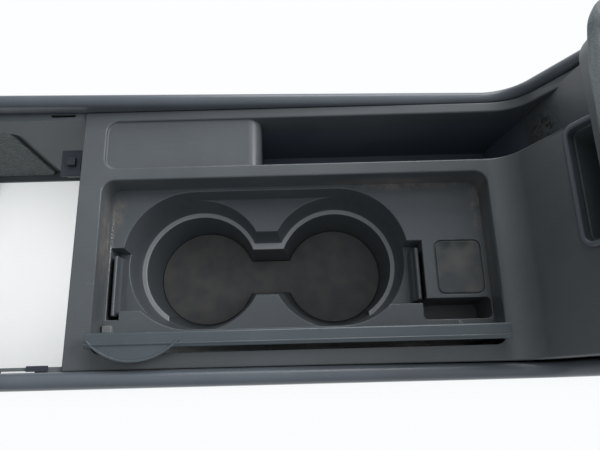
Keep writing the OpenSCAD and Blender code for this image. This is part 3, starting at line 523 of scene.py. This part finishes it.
class CONSOLE_OT_panels(PieceOperator, bpy.types.Operator):
    """Side rails, side panels and rear panel"""
    bl_idname = "console.panels"
    bl_label = "Rails and panels"

    def build(self, context):
        small = {"radius": sizes().panel_round, "steps": 2}
        for side in ("left", "right"):
            self.rail(side)
            rounded_node("side_panel_" + side, "side_moulding_" + side, Finishes.get("panel"), "console",
                         "panel_plastic")
        rounded_node("rear_panel", "rear_moulding", Finishes.get("panel"), "console", "panel_plastic", small)

    def rail(self, side):
        """A rail whose inner face leans against the trim, with only a hairline left between them."""
        shape = node_copy("rail_" + side)
        low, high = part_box("rail_" + side)
        trim_low, trim_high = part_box("top_trim")
        face, stop = (high.y, trim_low.y) if side == "left" else (low.y, trim_high.y)
        for vert in shape.verts:
            if abs(vert.co.y - face) < 0.02 * MM:
                vert.co.y = face + 0.85 * (stop - face)
        shade_smooth(finish_piece("rail_moulding_" + side, shape, Finishes.get("rail"), "console",
                                  ("rail_" + side,)))


class CONSOLE_OT_cups(PieceOperator, bpy.types.Operator):
    """Cup holder insert with its mats, the small tray stop and the coin pad"""
    bl_idname = "console.cups"
    bl_label = "Cup holder"

    def build(self, context):
        rounded_node("cup_holder_insert", "cup_insert_moulding", Finishes.get("insert"), "console",
                     "insert_plastic", {"radius": sizes().insert_round, "up": 0.3})
        rounded_node("cup_mat", "cup_mat_rubber", Finishes.get("rubber"), "console", "mat_rubber",
                     {"radius": 0.4 * MM, "up": 0.9})
        rounded_node("tray_stop", "tray_stop_rubber", Finishes.get("catch"), "console", "mat_rubber",
                     {"radius": 0.4 * MM, "up": 0.9})
        self.coin_pad()

    def coin_pad(self):
        """Loose rubber pad with rounded corners whose far edge curls up in waves."""
        low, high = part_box("coin_pad")
        middle, half = (low + high) / 2, (high - low) / 2
        corner = 4.2 * MM
        shape = bmesh.new()
        bmesh.ops.create_grid(shape, x_segments=30, y_segments=34, size=1)
        for vert in shape.verts:
            across, along = vert.co.x * half.x, vert.co.y * half.y
            over = Vector((abs(across) - half.x + corner, abs(along) - half.y + corner))
            if over.x > 0 and over.y > 0:
                over *= max(over) / over.length
                across = math.copysign(half.x - corner + over.x, across)
                along = math.copysign(half.y - corner + over.y, along)
            curl = max(0, along / half.y - 0.6) / 0.4
            wave = 0.5 + 0.5 * math.sin(across / half.x * 7.5)
            vert.co = (middle.x + across, middle.y + along - 0.9 * MM * wave * curl,
                       high.z - 0.25 * MM + 2.4 * MM * curl * curl * wave)
        pad = finish_piece("coin_pad_rubber", shape, Finishes.get("pad"), "console", ("coin_pad",))
        thick = pad.modifiers.new("Sheet", "SOLIDIFY")
        thick.thickness = 1.2 * MM
        thick.offset = -1
        edge = pad.modifiers.new("Soft edge", "BEVEL")
        edge.width = 0.35 * MM
        edge.segments = 2
        edge.limit_method = "ANGLE"


class CONSOLE_OT_lid(PieceOperator, bpy.types.Operator):
    """Stowed sliding lid with its thumb tab, pins, guides and catch"""
    bl_idname = "console.lid"
    bl_label = "Sliding lid"

    def build(self, context):
        rounded_node("lid_panel", "lid_moulding", Finishes.get("lid"), "lid", "trim_plastic",
                     {"radius": 0.45 * MM, "keep": lambda m: m.z > 118})
        paint_node("lid_pins", Finishes.get("steel"))
        for node in ("lid_guide_front", "lid_guide_rear"):
            paint_node(node, Finishes.get("liner"))
        rounded_node("lid_catch", "lid_catch_block", Finishes.get("catch"), "console", "insert_plastic",
                     {"radius": 0.7 * MM, "up": 0.9})


class CONSOLE_OT_front(PieceOperator, bpy.types.Operator):
    """Parts round the gear lever opening: cross-member, carrier, felt, bracket and clips"""
    bl_idname = "console.front"
    bl_label = "Front parts"

    def build(self, context):
        small = {"radius": sizes().panel_round, "steps": 2}
        rounded_node("front_crossmember", "crossmember_moulding", Finishes.get("liner"), "console",
                     "dark_plastic", small)
        rounded_node("carrier_right", "carrier_moulding", Finishes.get("panel"), "console",
                     "panel_plastic")
        rounded_node("felt_pad", "felt_pad_needled", Finishes.get("felt"), "console", "felt",
                     {"radius": 0.9 * MM})
        rounded_node("clip_bracket", "clip_bracket_moulding", Finishes.get("liner"), "console",
                     "dark_plastic", small)
        paint_node("rail_clips", Finishes.get("liner"))
        paint_node("panel_screws", Finishes.get("steel"))


class CONSOLE_OT_pocket(PieceOperator, bpy.types.Operator):
    """Pocket in the rear sweep with its rounded bezel"""
    bl_idname = "console.pocket"
    bl_label = "Pocket"

    def build(self, context):
        rounded_node("pocket_bezel", "pocket_rim", Finishes.get("rail"), "console", "trim_plastic",
                     {"radius": 1.3 * MM, "up": 0.3, "steps": 4})
        paint_node("pocket_liner", Finishes.get("panel"))


class CONSOLE_OT_armrest(PieceOperator, bpy.types.Operator):
    """Storage bin, armrest shell, cushion and hinge"""
    bl_idname = "console.armrest"
    bl_label = "Armrest"

    def build(self, context):
        rounded_node("storage_bin", "bin_moulding", Finishes.get("liner"), "console", "dark_plastic",
                     {"radius": sizes().panel_round, "up": 0.9, "steps": 2})
        rounded_node("armrest_shell", "armrest_shell_moulding", Finishes.get("panel"), "armrest",
                     "dark_plastic")
        self.cushion(context)
        paint_node("bin_mat", Finishes.get("felt"))
        paint_node("armrest_stops", Finishes.get("rubber"))
        for node in ("hinge_bracket", "hinge_pins", "hinge_screws"):
            paint_node(node, Finishes.get("steel"))

    def cushion(self, context):
        """Vinyl cover: undercut bowed nose, a pinched seam all round and a crowned top."""
        low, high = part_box("armrest_pad")
        middle, half = (low + high) / 2, (high - low) / 2
        bow = 7 * MM
        full = (high.z - low.z) / MM
        crown = sizes().cushion_crown / MM
        # Height over the base, pull inwards and extra setback of the front of each ring of the cover, in mm
        rings = ((0, 3.0, 9.0), (0.4, 2.0, 8.0), (4, 1.2, 6.0), (8, 0.5, 3.4), (9.4, 0.9, 2.8), (10, 1.8, 2.6),
                 (10.6, 0.9, 2.0), (12, 0.0, 0.6), (14.5, 0.2, 0.0), (17.5, 1.5, 0.0),
                 (full - crown - 1.4, 5.0, 0.0), (full - crown, 11.0, 0.0), (full - crown * 0.55, 26.0, 0.0),
                 (full - crown * 0.2, 46.0, 0.0), (full, 70.0, 0.0))
        shape = bmesh.new()
        outline = self.outline(half, 20 * MM)
        top = shape.faces.new([shape.verts.new((foot.x, foot.y, 0)) for foot in outline])
        for count, (height, pull, back) in enumerate(rings):
            if count:
                grown = bmesh.ops.extrude_face_region(shape, geom=[top])["geom"]
                if count > 1:
                    shape.faces.remove(top)
                top = next(item for item in grown if isinstance(item, bmesh.types.BMFace))
            for vert, foot in zip(top.verts, outline):
                ahead = max(0, -foot.x / half.x) ** 6
                shift = back * MM * ahead + bow * (foot.y / half.y) ** 2 * ahead
                vert.co = (middle.x + foot.x * (1 - pull * MM / half.x) + shift,
                           middle.y + foot.y * (1 - pull * MM / half.y), low.z + height * MM)
        bmesh.ops.recalc_face_normals(shape, faces=shape.faces)
        pad = finish_piece("armrest_cushion", shape, Finishes.get("vinyl"), "armrest",
                           ("armrest_pad",))
        bake(pad, subdivision(pad, 1))
        seam = low.z + 10 * MM
        inflate(context, pad, lambda co: co.z < low.z + 1 * MM or abs(co.z - seam) < 0.7 * MM, 4.0, 2.5 * MM)
        subdivision(pad, 1)

    @staticmethod
    def outline(half, corner):
        """Points round the cushion in plan, with extra ones across its front and back."""
        points = []
        for x, y, start in ((half.x - corner, half.y - corner, 0), (corner - half.x, half.y - corner, 90),
                            (corner - half.x, corner - half.y, 180), (half.x - corner, corner - half.y, 270)):
            for i in range(9):
                a = math.radians(start + i * 90 / 8)
                points.append(Vector((x + corner * math.cos(a), y + corner * math.sin(a))))
            last = points[-1]
            if start in (90, 270):
                points += [Vector((last.x, last.y * (1 - k / 6))) for k in range(1, 12)]
            else:
                points += [Vector((last.x * (1 - k / 9), last.y)) for k in range(1, 18)]
        return points


class CONSOLE_OT_studio(PieceOperator, bpy.types.Operator):
    """Pale table, soft light and the camera at the photograph's angle"""
    bl_idname = "console.studio"
    bl_label = "Studio"

    def build(self, context):
        scene = context.scene
        scene.view_settings.view_transform = "Standard"
        self.camera(scene)
        self.table()
        self.world(scene)
        self.lamp("Window light", (0.3, 1.9, 1.0), (0, 0, 0.1), 1.3, 27)
        self.lamp("Rear window light", (1.7, 0.5, 1.35), (0, 0, 0.1), 1.0, 32)

    def camera(self, scene):
        tilt, roll = math.radians(16.8), math.radians(1.5)
        ahead = Vector((0, math.sin(tilt), -math.cos(tilt)))
        right = Vector((math.cos(roll), -math.cos(tilt) * math.sin(roll), -math.sin(tilt) * math.sin(roll)))
        up = right.cross(ahead)
        data = bpy.data.cameras.new("Overhead camera")
        data.lens = 33
        data.sensor_width = 36
        data.sensor_fit = "HORIZONTAL"
        data.clip_start = 0.01
        camera = bpy.data.objects.new("Overhead camera", data)
        turn = Matrix((right, up, -ahead)).transposed().to_4x4()
        camera.matrix_world = Matrix.Translation((-0.03488, -0.1018, 0.465)) @ turn
        scene.collection.objects.link(camera)
        scene.camera = camera

    def table(self):
        shape = bmesh.new()
        bmesh.ops.create_grid(shape, x_segments=1, y_segments=1, size=15)
        mesh = bpy.data.meshes.new("Table")
        shape.to_mesh(mesh)
        shape.free()
        table = bpy.data.objects.new("Table", mesh)
        bpy.context.scene.collection.objects.link(table)
        material, tree, where = start_material("Laminate table matt")
        rays = add(tree, "ShaderNodeLightPath")
        lit = add(tree, "ShaderNodeBsdfPrincipled", {"Base Color": tuple(colours().floor), "Roughness": 0.8})
        bright = add(tree, "ShaderNodeEmission", {"Color": tuple(colours().floor), "Strength": 1.0})
        seen = add(tree, "ShaderNodeMath", {0: rays.outputs["Is Camera Ray"], 1: rays.outputs["Is Glossy Ray"]},
                   operation="MAXIMUM")
        near = add(tree, "ShaderNodeAmbientOcclusion", {"Distance": 0.25}, samples=8)
        # Occlusion keeps the object's shadow on the white table, and keeps the table dark under the console
        shadow = add(tree, "ShaderNodeMapRange", {"Value": near.outputs["AO"], "From Min": 0.05, "From Max": 0.5,
                                                  "To Min": 0.0, "To Max": 0.98})
        share = add(tree, "ShaderNodeMath", {0: seen.outputs[0], 1: shadow.outputs[0]}, operation="MULTIPLY")
        mixed = add(tree, "ShaderNodeMixShader", {0: share.outputs[0], 1: lit.outputs[0], 2: bright.outputs[0]})
        end_material(tree, mixed)
        mesh.materials.append(material)

    def world(self, scene):
        world = bpy.data.worlds.new("Room light")
        world.use_nodes = True
        scene.world = world
        world.node_tree.nodes.clear()
        tree = world.node_tree
        toward = add(tree, "ShaderNodeTexCoord")
        axes = add(tree, "ShaderNodeSeparateXYZ", {0: toward.outputs["Generated"]})
        side = add(tree, "ShaderNodeMapRange", {"Value": axes.outputs["X"], "From Min": -0.9, "From Max": 0.2,
                                                "To Min": 0.4})
        height = add(tree, "ShaderNodeMapRange", {"Value": axes.outputs["Z"], "From Min": 0.3, "From Max": 0.95,
                                                  "To Min": 0.62, "To Max": 1.0})
        level = add(tree, "ShaderNodeMath", {0: side.outputs[0], 1: height.outputs[0]}, operation="MULTIPLY")
        soft = add(tree, "ShaderNodeBackground", {"Color": linear("E9EEF2"), "Strength": level.outputs[0]})
        add(tree, "ShaderNodeOutputWorld", {"Surface": soft.outputs[0]})

    def lamp(self, name, place, target, size, power):
        data = bpy.data.lights.new(name, "AREA")
        data.shape = "SQUARE"
        data.size = size
        data.energy = power
        lamp = bpy.data.objects.new(name, data)
        lamp.location = place
        lamp.rotation_euler = (Vector(target) - Vector(place)).to_track_quat("-Z", "Y").to_euler()
        bpy.context.scene.collection.objects.link(lamp)


class CONSOLE_PT_panel(bpy.types.Panel):
    bl_label = "Car center console"
    bl_idname = "CONSOLE_PT_panel"
    bl_space_type = "VIEW_3D"
    bl_region_type = "UI"
    bl_category = "Console"

    def draw(self, context):
        for group in (context.scene.console_sizes, context.scene.console_colours):
            column = self.layout.column(align=True)
            for key in group.__annotations__:
                column.prop(group, key)
        for operator in OPERATORS:
            self.layout.operator(operator.bl_idname)


OPERATORS = (CONSOLE_OT_studio, CONSOLE_OT_trim, CONSOLE_OT_panels, CONSOLE_OT_cups, CONSOLE_OT_lid,
             CONSOLE_OT_front, CONSOLE_OT_pocket, CONSOLE_OT_armrest)
CLASSES = (ConsoleSizes, ConsoleColours, *OPERATORS, CONSOLE_PT_panel)


def register():
    for cls in CLASSES:
        bpy.utils.register_class(cls)
    bpy.types.Scene.console_sizes = PointerProperty(type=ConsoleSizes)
    bpy.types.Scene.console_colours = PointerProperty(type=ConsoleColours)


def unregister():
    del bpy.types.Scene.console_sizes
    del bpy.types.Scene.console_colours
    for cls in reversed(CLASSES):
        bpy.utils.unregister_class(cls)


def main():
    register()
    for operator in OPERATORS:
        group, name = operator.bl_idname.split(".")
        getattr(getattr(bpy.ops, group), name)()


if __name__ == "__main__":
    main()
